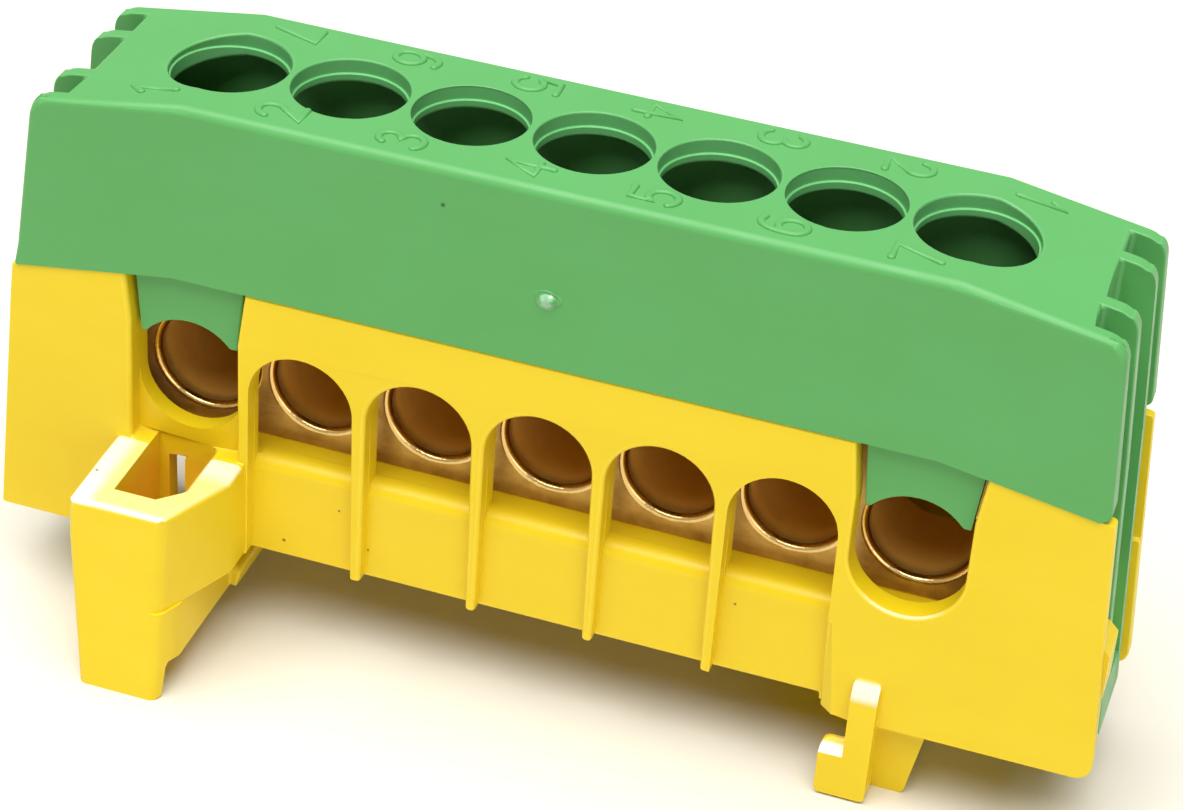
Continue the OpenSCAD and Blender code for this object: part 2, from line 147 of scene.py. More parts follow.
class TerminalStudio(bpy.types.PropertyGroup):
    """Camera, floor and light."""

    eye: triple("Camera place", "Where the camera stands",
                (0.0402071, -0.1345259, 0.1137927), "TRANSLATION", "LENGTH")
    turn: triple("Camera turn", "How the camera is turned",
                 (0.97212425, -0.06447366, 0.32084011), "EULER", "ROTATION")
    lens: bpy.props.FloatProperty(
        name="Lens", description="Focal length for a 36 mm wide sensor", default=101.4025, unit="CAMERA")
    floor: paint("Floor", "Pale table", (0.77, 0.745, 0.67))
    sky: level("Room light", "Even light from all round", 0.02)
    overhead: level("Overhead light", "Strength of the wide light overhead", 5.1)
    overhead_spread: spread("Overhead spread", "Angle the overhead light fills", 64)
    overhead_from: triple("Overhead from", "Direction the overhead light comes from",
                          (-0.05, -0.18, 1.0), "DIRECTION")
    window: level("Window light", "Strength of the low light in front", 0.5)
    window_spread: spread("Window spread", "Angle the window fills", 36)
    window_from: triple("Window from", "Direction the window's light comes from",
                        (0.62, -0.76, 0.2), "DIRECTION")


class Field:
    """A socket in a node tree; operators on it add Math nodes."""

    def __init__(self, tree, socket=None):
        self.tree = tree
        self.socket = socket

    def node(self, kind, settings=None, sockets=None, out=0):
        """Adds a node, sets it up, fills or links its sockets and gives one output."""
        made = self.tree.nodes.new(kind)
        for key, value in (settings or {}).items():
            setattr(made, key, value)
        for key, value in (sockets or {}).items():
            target = made.inputs[key]
            for item in value if isinstance(value, list) else [value]:
                if isinstance(item, Field):
                    self.tree.links.new(item.socket, target)
                else:
                    target.default_value = item
        return Field(self.tree, made.outputs[out])

    def math(self, operation, *values):
        """A Math node on values."""
        return self.node("ShaderNodeMath", {"operation": operation}, dict(enumerate(values)))

    def __add__(self, other):
        return self.math("ADD", self, other)

    __radd__ = __add__

    def __sub__(self, other):
        return self.math("SUBTRACT", self, other)

    def __rsub__(self, other):
        return self.math("SUBTRACT", other, self)

    def __mul__(self, other):
        return self.math("MULTIPLY", self, other)

    __rmul__ = __mul__

    def __truediv__(self, other):
        return self.math("DIVIDE", self, other)

    def __rtruediv__(self, other):
        return self.math("DIVIDE", other, self)

    def clamp(self, low, high):
        """This value kept between two levels."""
        return self.math("MINIMUM", self.math("MAXIMUM", self, low), high)

    def step(self, low, high, start=0.0, end=1.0):
        """Smooth step of this value between two levels."""
        return self.node("ShaderNodeMapRange", {"interpolation_type": "SMOOTHSTEP"},
                         {"Value": self, "From Min": low, "From Max": high, "To Min": start, "To Max": end})

    def between(self, rise, fall):
        """One between two fades, none outside them."""
        return self.step(*rise) * self.step(*fall, 1.0, 0.0)

    def parts(self):
        """The three parts of this vector."""
        split = self.node("ShaderNodeSeparateXYZ", {}, {"Vector": self}).socket.node
        return [Field(self.tree, split.outputs[k]) for k in range(3)]

    def vector(self, x, y, z):
        """A vector of three values."""
        return self.node("ShaderNodeCombineXYZ", {}, {"X": x, "Y": y, "Z": z})

    def mix(self, first, second):
        """Two colours mixed by this value."""
        return self.node("ShaderNodeMix", {"data_type": "RGBA"}, {0: self, 6: first, 7: second}, 2)


def rgba(colour):
    """A colour that covers fully."""
    return (*colour, 1.0)


class Finish:
    """A material with one Principled surface, filled in by node expressions."""

    def __init__(self, name, **constants):
        self.material = bpy.data.materials.new(name)
        self.material.use_nodes = True
        self.tree = self.material.node_tree
        self.tree.nodes.clear()
        self.pen = Field(self.tree)
        self.surface = self.tree.nodes.new("ShaderNodeBsdfPrincipled")
        output = self.tree.nodes.new("ShaderNodeOutputMaterial")
        self.tree.links.new(self.surface.outputs[0], output.inputs["Surface"])
        self.place = self.pen.node("ShaderNodeTexCoord", out="Object")
        for key, value in constants.items():
            self.surface.inputs[key.replace("_", " ")].default_value = value

    def noise(self, scale, detail, rough, place=None):
        """A noise pattern, on object coordinates unless another place is given."""
        return self.pen.node("ShaderNodeTexNoise", {}, {
            "Vector": place or self.place, "Scale": scale, "Detail": detail, "Roughness": rough})

    def stretched(self, x, y, z):
        """Object coordinates scaled for a pattern that runs one way."""
        return self.pen.node("ShaderNodeMapping", {}, {"Vector": self.place, "Scale": (x, y, z)})

    def axes(self):
        """The three object coordinates."""
        return self.place.parts()

    def spot(self, centre, radius):
        """One inside a small ball, none outside it."""
        away = self.pen.node("ShaderNodeVectorMath", {"operation": "DISTANCE"},
                             {0: self.place, 1: centre}, "Value")
        return away.step(radius * 0.55, radius, 1.0, 0.0)

    def attribute(self, name):
        """A value that the piece's mesh carries."""
        return self.pen.node("ShaderNodeAttribute", {"attribute_name": name}, {}, "Fac")

    def feed(self, socket, value):
        """Links a value to a socket of the surface."""
        self.tree.links.new(value.socket, self.surface.inputs[socket])

    def bump(self, height, distance, strength):
        """Fine relief from a height."""
        made = self.pen.node("ShaderNodeBump", {}, {
            "Height": height, "Distance": distance, "Strength": strength})
        self.feed("Normal", made)


def moulded(name, colour, deep, specks, dirt, extra):
    """Satin moulded plastic: flow streaks, fine grain, smoother rounded edges coloured paler as a painted
    highlight, and grit.
    """
    finish = Finish(name, IOR=1.46, Specular_IOR_Level=0.4)
    cloud = finish.noise(110.0, 4.0, 0.55)
    streak = finish.noise(1.0, 3.0, 0.6, finish.stretched(90.0, 90.0, 420.0))
    body = (cloud * 0.6 + streak * 0.4).step(0.36, 0.66)
    tone = body.mix(rgba(deep), rgba(colour))
    edge = finish.attribute("edge_round")
    # Painted highlight: the rounded edges are coloured paler than the plastic
    pale = tuple(min(1.0, c * 1.04 + 0.012) for c in colour)
    tone = (edge * 0.75).mix(tone, rgba(pale))
    for mask, other in extra(finish, cloud):
        tone = mask.mix(tone, rgba(other))
    grit = None
    for centre, radius in specks:
        spot = finish.spot(tuple(c * MM for c in centre), radius * MM)
        grit = spot if grit is None else grit.math("MAXIMUM", grit, spot)
    tone = (grit * 0.8).mix(tone, rgba(dirt))
    finish.feed("Base Color", tone)
    grain = finish.noise(5200.0, 2.0, 0.5)
    wave = finish.noise(420.0, 2.0, 0.5)
    finish.feed("Roughness", wave.step(0.3, 0.7, 0.34, 0.44) - edge * 0.06)
    finish.bump(grain * 0.35 + wave * 0.65, 0.000012, 0.5)
    return finish.material


# Where the painted highlight on the base fades, in metres: on its feet and round its right wire notch
FEET_FRONT = (-0.00255, -0.0024)
LATCH_LEFT = (-0.0226, -0.0217)
LATCH_RIGHT = (-0.0188, -0.0176)
LATCH_FRONT = (-0.0085, -0.0081)
LATCH_REAR = (-0.0048, -0.0034)
LATCH_TOP = (0.0107, 0.0109)
HOOK_LEFT = (0.0158, 0.016)
HOOK_LEDGE = ((0.0024, 0.0028), (0.0036, 0.004))
HOOK_TOP = (0.0064, 0.0069)
NOTCH_LEFT = (0.0165, 0.0185)
NOTCH_TOP = (0.0125, 0.0135)
NOTCH_FRONT = (-0.0021, -0.0019)
# Where the glow in the latch's slot fades, in metres
SLOT_ACROSS = ((-0.0217, -0.0214), (-0.0181, -0.0177))
SLOT_ALONG = ((-0.0072, -0.0069), (-0.0016, -0.0012))
SLOT_TOP = (0.01, 0.0112)
# Fade round an access hole, in metres
HOLE_FADE = 0.0002
# Depths in a hole between which the painted light on its upper walls and its painted shade set in, in metres,
# and their strength
HOLE_RIM_LIGHT = (0.0003, 0.0002, 0.85)
HOLE_SHADE = (0.0021, 0.0015, 0.95)


def base_painted_highlights(finish, cloud):
    """Painted highlight: the upward faces of the feet and the right wire notch's rounded edge, coloured near
    white as if brightly lit.
    """
    x, y, z = finish.axes()
    up = finish.attribute("facing_up")
    edge = finish.attribute("edge_round")
    fore = y.step(*FEET_FRONT, 1.0, 0.0)
    outer = x.step(*LATCH_LEFT, 0.6, 0.0) + y.step(*LATCH_FRONT, 0.55, 0.0)
    rear = y.step(*LATCH_REAR) * x.step(*LATCH_RIGHT) * 0.5
    rim = up.step(0.2, 0.85) * z.step(*LATCH_TOP) * (0.3 + outer + rear)
    hook = up.step(0.2, 0.4) * z.between(*HOOK_LEDGE) + up.step(0.0, 0.06) * z.step(*HOOK_TOP)
    hook = hook * x.step(*HOOK_LEFT)
    notch = edge * up.step(0.15, 0.7) * x.step(*NOTCH_LEFT) * z.step(*NOTCH_TOP, 1.0, 0.0) * 0.6
    highlit = (rim + hook) * fore + notch * y.step(*NOTCH_FRONT, 1.0, 0.0)
    return highlit.math("MINIMUM", highlit * cloud.step(0.3, 0.6, 0.75, 1.0), 1.0)


def latch_glow(finish):
    """Where the latch's slot has the colour of light through its thin walls."""
    x, y, z = finish.axes()
    return x.between(*SLOT_ACROSS) * y.between(*SLOT_ALONG) * z.step(*SLOT_TOP, 0.55, 0.0)


def hole_masks(finish, top):
    """Painted light on the upper walls of the access holes, and the painted deep shade below them."""
    x, y, z = finish.axes()
    across = x - x.math("ROUND", x / PITCH).clamp(-(WAYS // 2), WAYS // 2) * PITCH
    along = y - ROW_Y
    inside = x.math("SQRT", across * across + along * along).step(HOLE_R, HOLE_R + HOLE_FADE, 1.0, 0.0)
    return [inside * z.step(top - deep, top - shallow, strength, 0.0)
            for deep, shallow, strength in (HOLE_RIM_LIGHT, HOLE_SHADE)]


def sawn_brass(name, colours):
    """Sawn brass bar: cross saw marks on the faces, brown bloom, darker towards its bottom, bright broken
    edges, and painted bounce light in the bores.
    """
    finish = Finish(name)
    bloom = finish.noise(520.0, 5.0, 0.62)
    cloud = finish.noise(150.0, 3.0, 0.5)
    saw = finish.noise(1.0, 3.0, 0.65, finish.stretched(420.0, 420.0, 5200.0))
    scratch = finish.noise(1.0, 2.0, 0.6, finish.stretched(2600.0, 900.0, 700.0))
    edge = finish.attribute("edge_round")
    _, y, z = finish.axes()
    deep = (y - BAR_LO.y).step(0.0004, 0.0012)
    # Darker towards the bar's bottom edge, along the sill
    bottom_darkening = (z - BAR_LO.z).step(0.0004, 0.001, 0.5, 0.0)
    stain = (bloom * 0.55 + cloud * 0.45).step(0.38, 0.64) * 0.7 + bottom_darkening
    stain = stain * (1.0 - edge * 0.5)
    tone = stain.mix(rgba(colours.brass), rgba(colours.tarnish))
    # Painted light: deep in the bores the brass takes the lighter bore colour and loses its metal, standing
    # in for bounced light
    tone = (deep * 0.85).mix(tone, rgba(colours.bore))
    bright = tuple(min(1.0, c * 1.1 + 0.08) for c in colours.brass)
    tone = (edge * 0.7).mix(tone, rgba(bright))
    finish.feed("Base Color", tone)
    finish.feed("Metallic", (0.8 + edge * 0.2) * (1.0 - deep * 0.95))
    finish.feed("Roughness", (saw.step(0.3, 0.7, 0.32, 0.5) + stain * 0.1) * (1.0 - edge * 0.62))
    finish.bump(saw * 0.7 + scratch * 0.3, 0.00003, 0.75)
    return finish.material


def plated_steel(name, colours):
    """Dull plated screw steel, darker in patches."""
    finish = Finish(name, Metallic=1.0)
    cloud = finish.noise(900.0, 4.0, 0.6)
    dull = tuple(c * 0.55 for c in colours.steel)
    finish.feed("Base Color", cloud.step(0.4, 0.7).mix(rgba(colours.steel), rgba(dull)))
    finish.feed("Roughness", cloud.step(0.3, 0.7, 0.48, 0.62))
    finish.bump(finish.noise(3800.0, 2.0, 0.5), 0.00001, 0.4)
    return finish.material


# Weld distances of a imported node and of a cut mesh, in millimetres
NODE_WELDS = (0.002, 0.03)
CUT_WELDS = (0.01,)
# Least edge, in millimetres, and least turn between faces that stay
LEAST_EDGE = 0.005
LEAST_TURN = math.radians(0.6)
# Share of the free room that a round takes
ROOM_SHARE = 0.42
# How many widths apart two rounds may meet, and the cosine from which an edge lies ahead of another
MEETING_WIDTHS = 2.4
FACING = 0.5
# Turns between which two edges make a corner, and the turn up to which edges are one run
CORNER_TURNS = (math.radians(8), math.radians(145))
RUN_TURN = math.radians(38)
# Least width of a round, in millimetres
LEAST_ROUND = 0.02
# Turn and area from which a place counts as a fold, how far it reaches and how it narrows the rounds there
FOLD_TURN = math.radians(125)
FOLD_AREA = 1e-4
FOLD_REACH = 0.12
FOLD_SPREAD = 0.1
FOLD_SHRINK = 0.7
# How far waste reaches out of an edge, in millimetres
CUT_MARGIN = 0.25
# Loose pieces with fewer faces than this are chips that a cut left
CHIP_FACES = 8
# Share of its size that a piece keeps when it is cut, or the cut went wrong
KEPT_SHARE = 0.98


def smooth_regions(mesh, sharp):
    """Number of the smooth region that each face lies in."""
    region = {}
    count = 0
    for face in mesh.faces:
        if face in region:
            continue
        region[face] = count
        todo = [face]
        while todo:
            for edge in todo.pop().edges:
                if edge in sharp:
                    continue
                for other in edge.link_faces:
                    if other not in region:
                        region[other] = count
                        todo.append(other)
        count += 1
    return region


def edge_runs(sharp, region):
    """Number of the run of each sharp edge: edges that carry on between the same regions."""
    run = {}
    count = 0
    sides = {e: frozenset(region[f] for f in e.link_faces) for e in sharp}
    for edge in sharp:
        if edge in run:
            continue
        run[edge] = count
        todo = [edge]
        while todo:
            here = todo.pop()
            for vert in here.verts:
                way = here.other_vert(vert).co - vert.co
                for other in vert.link_edges:
                    if other in run or other not in sharp or sides[other] != sides[here]:
                        continue
                    if math.pi - way.angle(other.other_vert(vert).co - vert.co, 0) < RUN_TURN:
                        run[other] = count
                        todo.append(other)
        count += 1
    return run, count


def into_face(edge, face):
    """Direction in a face, square to one of its edges."""
    for loop in edge.link_loops:
        if loop.face == face:
            return face.normal.cross(loop.link_loop_next.vert.co - loop.vert.co).normalized()
    raise RuntimeError("the edge isn't on the face")


def end_room(edge, sharp):
    """Room for a round, from the sharp edges at the ends of an edge."""
    room = math.inf
    straight, bent = CORNER_TURNS
    for face in edge.link_faces:
        for vert in edge.verts:
            for side in vert.link_edges:
                if side == edge or side not in sharp or face not in side.link_faces:
                    continue
                far = side.other_vert(vert)
                turn = (edge.other_vert(vert).co - vert.co).angle(far.co - vert.co, 0)
                if not straight < turn < bent:
                    continue
                if any((e.other_vert(far).co - far.co).angle(vert.co - far.co, 0) < bent
                       for e in far.link_edges if e in sharp and e != side):
                    room = min(room, side.calc_length() * math.sin(turn) * ROOM_SHARE)
    return room


def edge_room(sharp, region, wanted):
    """Width of round that each sharp edge has room for."""
    limit = {e: min(wanted(e), end_room(e, sharp)) for e in sharp}
    by_region = {}
    for edge in sharp:
        for face in edge.link_faces:
            by_region.setdefault(region[face], []).append((edge, face))
    t = np.linspace(0, 1, 7)[:, None]
    for items in by_region.values():
        start = np.array([e.verts[0].co for e, _ in items])
        way = np.array([e.verts[1].co for e, _ in items]) - start
        mid = start + way / 2
        half = np.linalg.norm(way, axis=1) / 2
        for i, (edge, face) in enumerate(items):
            reach = MEETING_WIDTHS * limit[edge] + half[i] + half
            into = np.array(into_face(edge, face))
            along = start[i] + way[i] * t
            for j in np.where(np.linalg.norm(mid - mid[i], axis=1) < reach)[0]:
                other = items[j][0]
                if other is edge or set(other.verts) & set(edge.verts):
                    continue
                part = np.clip((along - start[j]) @ way[j] / max(way[j] @ way[j], 1e-12), 0, 1)
                gap = start[j] + way[j] * part[:, None] - along
                far = np.linalg.norm(gap, axis=1)
                facing = (far > 1e-6) & (gap @ into > FACING * far)
                if facing.any():
                    room = far[facing].min() * ROOM_SHARE
                    limit[edge] = min(limit[edge], room)
                    limit[other] = min(limit[other], room)
    return limit


def bevelled(data, width, segments):
    """A mesh with its weighted edges rounded; new faces have material index 1."""
    piece = placed("rounding", data)
    rounds = piece.modifiers.new("edge rounds", "BEVEL")
    rounds.limit_method = "WEIGHT"
    rounds.width = width
    rounds.segments = segments
    rounds.use_clamp_overlap = False
    rounds.material = 1
    return baked(piece)


def baked(piece):
    """The evaluated mesh of a piece, which is then removed."""
    bpy.context.view_layer.update()
    seen = piece.evaluated_get(bpy.context.evaluated_depsgraph_get())
    done = bpy.data.meshes.new_from_object(seen)
    bpy.data.objects.remove(piece)
    return done


def middle(edge):
    """The middle of an edge."""
    return (edge.verts[0].co + edge.verts[1].co) / 2


def fold_spots(data):
    """Places where a mesh turns back on itself or a face's outline crosses itself."""
    mesh = bmesh.new()
    mesh.from_mesh(data)
    spots = [middle(e) for e in mesh.edges if len(e.link_faces) == 2 and e.calc_face_angle(0) > FOLD_TURN]
    mesh.free()
    data.calc_loop_triangles()
    for tri in data.loop_triangles:
        if tri.area > FOLD_AREA and tri.normal.dot(data.polygons[tri.polygon_index].normal) < 0:
            spots += [data.vertices[v].co.copy() for v in tri.vertices]
    return np.array(spots).reshape(-1, 3)


def flat_faces(mesh, welds):
    """Welds a mesh and makes its flat faces whole."""
    for distance in welds:
        bmesh.ops.remove_doubles(mesh, verts=mesh.verts, dist=distance)
    bmesh.ops.dissolve_degenerate(mesh, dist=LEAST_EDGE, edges=mesh.edges)
    bmesh.ops.dissolve_limit(mesh, angle_limit=LEAST_TURN, verts=mesh.verts, edges=mesh.edges)


def welded(node):
    """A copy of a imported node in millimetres, welded and with its flat faces whole."""
    mesh = bmesh.new()
    mesh.from_mesh(frame["nodes"][node].data)
    bmesh.ops.scale(mesh, vec=(1 / MM,) * 3, verts=mesh.verts)
    flat_faces(mesh, NODE_WELDS)
    data = bpy.data.meshes.new(node)
    mesh.to_mesh(data)
    mesh.free()
    return data


def rounded(data, wanted, material, angle=33, segments=3, tries=22):
    """Rounds the sharp edges; a run of edges that would fold over gets a smaller round."""
    mesh = bmesh.new()
    mesh.from_mesh(data)
    weight = mesh.edges.layers.float.new("bevel_weight_edge")
    mesh.normal_update()
    sharp = {e for e in mesh.edges if len(e.link_faces) == 2
             and e.calc_face_angle(0) > math.radians(angle) and wanted(e) > 0}
    region = smooth_regions(mesh, sharp)
    limit = edge_room(sharp, region, wanted)
    run, count = edge_runs(sharp, region)
    width = np.full(count, math.inf)
    for edge in sharp:
        width[run[edge]] = min(width[run[edge]], limit[edge])
    widest = width.max()
    edges = sorted(sharp, key=lambda e: e.index)
    number = np.array([run[e] for e in edges])
    ends = np.array([[tuple(v.co) for v in e.verts] for e in edges])
    along = ends[:, :1] + (ends[:, 1:] - ends[:, :1]) * np.linspace(0, 1, 9)[None, :, None]
    for _ in range(tries):
        width[width < LEAST_ROUND] = 0
        for k, edge in enumerate(edges):
            edge[weight] = width[number[k]] / widest
        trial = bpy.data.meshes.new(data.name)
        mesh.to_mesh(trial)
        trial.materials.append(material)
        trial.materials.append(material)
        done = bevelled(trial, widest, segments)
        spots = fold_spots(done)
        if not len(spots):
            break
        tight = set()
        for spot in spots:
            away = np.linalg.norm(along - spot, axis=2).min(1)
            for k in np.where(away < max(FOLD_REACH, away.min() + FOLD_SPREAD))[0]:
                tight.add(number[k])
        for k in tight:
            width[k] *= FOLD_SHRINK
    mesh.free()
    return done


def edge_prism(line, first, second, sides=8):
    """Rings of the waste along an edge that is cut round, or straight with one side.

    The line has points with radii; first and second are the ways into the edge's two faces.
    """
    rings = []
    for spot, (*place, radius) in enumerate(line):
        here = Vector(place)
        u = Vector(first[spot] if isinstance(first, list) else first)
        v = Vector(second[spot] if isinstance(second, list) else second)
        ring = []
        for k in range(sides + 1):
            turn = math.pi / 2 * k / sides
            ring.append(here + (u + v) * radius - (v * math.cos(turn) + u * math.sin(turn)) * radius)
        ring.append(here + v * radius - u * CUT_MARGIN)
        ring.append(here - (u + v) * CUT_MARGIN)
        ring.append(here + u * radius - v * CUT_MARGIN)
        rings.append(ring)
    return rings


def carved(data, prisms):
    """A mesh with prisms cut away; a prism is a list of rings of points."""
    points, faces = [], []
    for rings in prisms:
        start = len(points)
        count = len(rings[0])
        for ring in rings:
            points += ring
        for step in range(len(rings) - 1):
            a = start + step * count
            faces += [(a + k, a + (k + 1) % count, a + count + (k + 1) % count, a + count + k)
                      for k in range(count)]
        faces.append([start + k for k in range(count)])
        faces.append([len(points) - count + k for k in reversed(range(count))])
    tool_data = bpy.data.meshes.new("waste")
    tool_data.from_pydata(points, [], faces)
    outward(tool_data)
    tool = placed("waste", tool_data)
    piece = placed("carved", data)
    cut = piece.modifiers.new("cuts", "BOOLEAN")
    cut.operation = "DIFFERENCE"
    cut.solver = "EXACT"
    cut.use_self = True
    cut.object = tool
    size = piece.dimensions.length
    done = baked(piece)
    bpy.data.objects.remove(tool)
    mesh = bmesh.new()
    mesh.from_mesh(done)
    island = smooth_regions(mesh, set())
    share = np.bincount(list(island.values()), minlength=1)
    chips = [face for face, number in island.items() if share[number] < CHIP_FACES]
    bmesh.ops.delete(mesh, geom=chips, context="FACES")
    flat_faces(mesh, CUT_WELDS)
    reach = np.ptp(np.array([v.co for v in mesh.verts] or [(0, 0, 0)]), axis=0)
    if np.linalg.norm(reach) < size * KEPT_SHARE:
        raise RuntimeError("the cuts lost part of " + data.name)
    mesh.to_mesh(done)
    mesh.free()
    return done


def edge_marks(data):
    """Turns the rounds' material index into a face attribute for the finishes."""
    index = np.zeros(len(data.polygons), np.int32)
    data.polygons.foreach_get("material_index", index)
    old = data.attributes.get("edge_round")
    mark = np.zeros(len(index), np.float32)
    if old is not None:
        old.data.foreach_get("value", mark)
    else:
        old = data.attributes.new("edge_round", "FLOAT", "FACE")
    old.data.foreach_set("value", np.maximum(mark, (index == 1).astype(np.float32)))
    data.polygons.foreach_set("material_index", np.zeros(len(index), np.int32))
    while len(data.materials) > 1:
        data.materials.pop()


def even_normals(data, near=math.cos(math.radians(34)), joined=math.cos(math.radians(72))):
    """Sets corner normals: flat faces stay flat and the rounds blend between them."""
    count = len(data.polygons)
    normal = np.zeros(count * 3, np.float32)
    area = np.zeros(count, np.float32)
    mark = np.zeros(count, np.float32)
    data.polygons.foreach_get("normal", normal)
    data.polygons.foreach_get("area", area)
    data.attributes["edge_round"].data.foreach_get("value", mark)
    normal = normal.reshape(-1, 3)
    around = [[] for _ in data.vertices]
    for face in data.polygons:
        for vert in face.vertices:
            around[vert].append(face.index)

    def blend(pool, way, least):
        pool = [g for g in pool if normal[g] @ way > least]
        total = (normal[pool] * np.maximum(area[pool], 1e-9)[:, None]).sum(0) if pool else way
        return total / max(np.linalg.norm(total), 1e-12)

    corners = []
    for face in data.polygons:
        way = normal[face.index]
        for vert in face.vertices:
            flat = [g for g in around[vert] if mark[g] < 0.5]
            if mark[face.index] < 0.5:
                corners.append(blend(flat, way, near))
                continue
            best = max(flat, key=lambda g: normal[g] @ way, default=None)
            if best is not None and normal[best] @ way > joined:
                corners.append(blend(flat, normal[best], near))
            else:
                corners.append(blend([g for g in around[vert] if mark[g] > 0.5], way, joined))
    data.normals_split_custom_set([tuple(c) for c in corners])
    facing = data.attributes.new("facing_up", "FLOAT", "CORNER")
    facing.data.foreach_set("value", np.array(corners, np.float32)[:, 2].copy())


def shell(name, data, node):
    """A finished piece in metres, inside its node's box, with its rounds marked and even shading."""
    edge_marks(data)
    lo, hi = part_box(node)
    co = np.zeros(len(data.vertices) * 3, np.float32)
    data.vertices.foreach_get("co", co)
    co = np.clip(co.reshape(-1, 3) * MM, np.array(lo), np.array(hi))
    data.vertices.foreach_set("co", co.astype(np.float32).ravel())
    data.update()
    data.shade_smooth()
    even_normals(data)
    data.name = name
    return placed(name, data)


def placed(name, data):
    """A new object at the origin with its place in its mesh."""
    piece = bpy.data.objects.new(name, data)
    bpy.context.scene.collection.objects.link(piece)
    return piece


RIGHT, LEFT, BACK, UP, DOWN = (1, 0, 0), (-1, 0, 0), (0, 1, 0), (0, 0, 1), (0, 0, -1)
# Edges that are cut round: points on the edge with the radius there, ways into its two faces, in millimetres
BASE_EDGES = [
    ([(-18.158, -9.533, -0.4, 0.36), (-17.962, -9.066, 5.455, 0.36)], LEFT, (0.387, 0.922, 0)),
    ([(-18.12, -9.066, 5.455, 0.62), (-17.915, -8.56, 11.8, 0.52)], LEFT, (0.377, 0.926, 0)),
    ([(-23.8, -8.6, 11.3, 0.4), (-17.2, -8.6, 11.3, 0.4)], (0, -0.079, -0.997), BACK),
    ([(-18.15, -9.14, 11.3, 0.36), (-15.99, -3.82, 11.3, 0.36)], (-0.926, 0.377, 0), DOWN),
    ([(-16.1, -4.5, 11.3, 0.36), (-16.1, -2.45, 11.3, 0.36)], LEFT, DOWN),
    ([(-23.24, -9.0, 11.3, 0.34), (-23.35, -4.4, 11.3, 0.34), (-23.35, -2.45, 11.3, 0.34)], RIGHT, DOWN),
    ([(-22.47, -9.53, -0.4, 0.42), (-23.24, -8.78, 8.99, 0.42), (-23.25, -8.56, 11.8, 0.42)], RIGHT, BACK),
    ([(17.7, -3.3, 7.8, 0.45), (17.7, -2.405, 7.8, 0.45)], RIGHT, DOWN),
    ([(19.12, -3.3, 7.8, 0.35), (19.12, -2.405, 7.8, 0.35)], LEFT, DOWN),
    ([(16.4, -3.3, 3.4, 0.5), (16.4, -1.5, 3.4, 0.5)], RIGHT, DOWN),
    ([(16.4, -3.3, 0.15, 0.35), (16.4, -1.5, 0.15, 0.35)], RIGHT, UP),
    ([(19.12, -3.3, 0.15, 0.3), (19.12, -2.2, 0.15, 0.3)], LEFT, UP),
]
# Outline of the cover's front across and up with the radius there, then its foot and its lean back
COVER_RIM = [
    (-28.99, 20.63, 0.04), (-28.9, 21.7, 0.3), (-28.28, 29.33, 0.38), (-28.11, 29.88, 0.4),
    (-27.73, 30.3, 0.42), (-27.2, 30.51, 0.45), (-20, 31.7, 0.5),
    (20, 31.7, 0.5), (27.2, 30.51, 0.45), (27.73, 30.3, 0.42),
    (28.11, 29.88, 0.4), (28.28, 29.33, 0.38), (28.95, 21.11, 0.3), (28.81, 20.74, 0.15),
    (28.43, 20.63, 0.04)]
COVER_FOOT = (-2.44, 20.63)
COVER_LEAN = 0.069
# Edges that are cut straight: the right end block's left edge, and the latch foot's lower front right corner
BASE_CHAMFERS = [
    ([(15.97, -2.4, 4.5, 0.8), (16.09, -2.4, 10.7, 0.06)], RIGHT, (-0.196, 0.981, 0)),
    ([(-17.85, -9.533, -0.4, 1), (-17.85, -9.066, 5.455, 1)],
     [(-0.308, 0, 0), (-0.112, 0, 0)], [(0, 0.733, 0), (0, 0.266, 0)]),
]
# Waste behind the lip of the latch foot: its reach across, and its outline seen from the side
LIP_ACROSS = (-25, -16)
LIP_WASTE = [(-9.0, -0.3), (-8.62, 2.0), (-6.5, 2.0), (-6.5, -0.3)]
# Edges this near the base's front or this low are rounded as its feet are, in millimetres
FOOT_DEPTH = 6.8
FOOT_HEIGHT = 4.8
# The cover's long upper edges lie this near its top and this far off its row of holes, in millimetres
RIM_DEPTH = 1.6
RIM_OUT = 4
# The cover's top: how deep its falling ends reach and where they bend, in millimetres, and their fall
TOP_DEPTH = 1.42
TOP_BEND = 20.0
TOP_FALL = 0.165
# Grit in the mouldings: place and radius in millimetres
BASE_SPECKS = [((-14.13, -1.4, 6.32), 0.13), ((-11.02, -1.4, 9.15), 0.09), ((-9.32, -1.4, 7.08), 0.09),
               ((10.84, -1.4, 9.61), 0.1), ((-22.92, -5.79, 11.3), 0.12)]
COVER_SPECKS = [((-5.85, -1.82, 29.55), 0.15)]


def cover_edge():
    """The outline of the cover's front as an edge to cut round."""
    y, z = COVER_FOOT
    line = [(across, y + (high - z) * COVER_LEAN, high, radius) for across, high, radius in COVER_RIM]
    spots = [Vector(place[:3]) for place in line]
    inward = []
    for k in range(len(spots)):
        along = spots[min(k + 1, len(spots) - 1)] - spots[max(k - 1, 0)]
        way = Vector(BACK).cross(along).normalized()
        way.y = way.z * COVER_LEAN
        inward.append(way)
    return line, inward, BACK


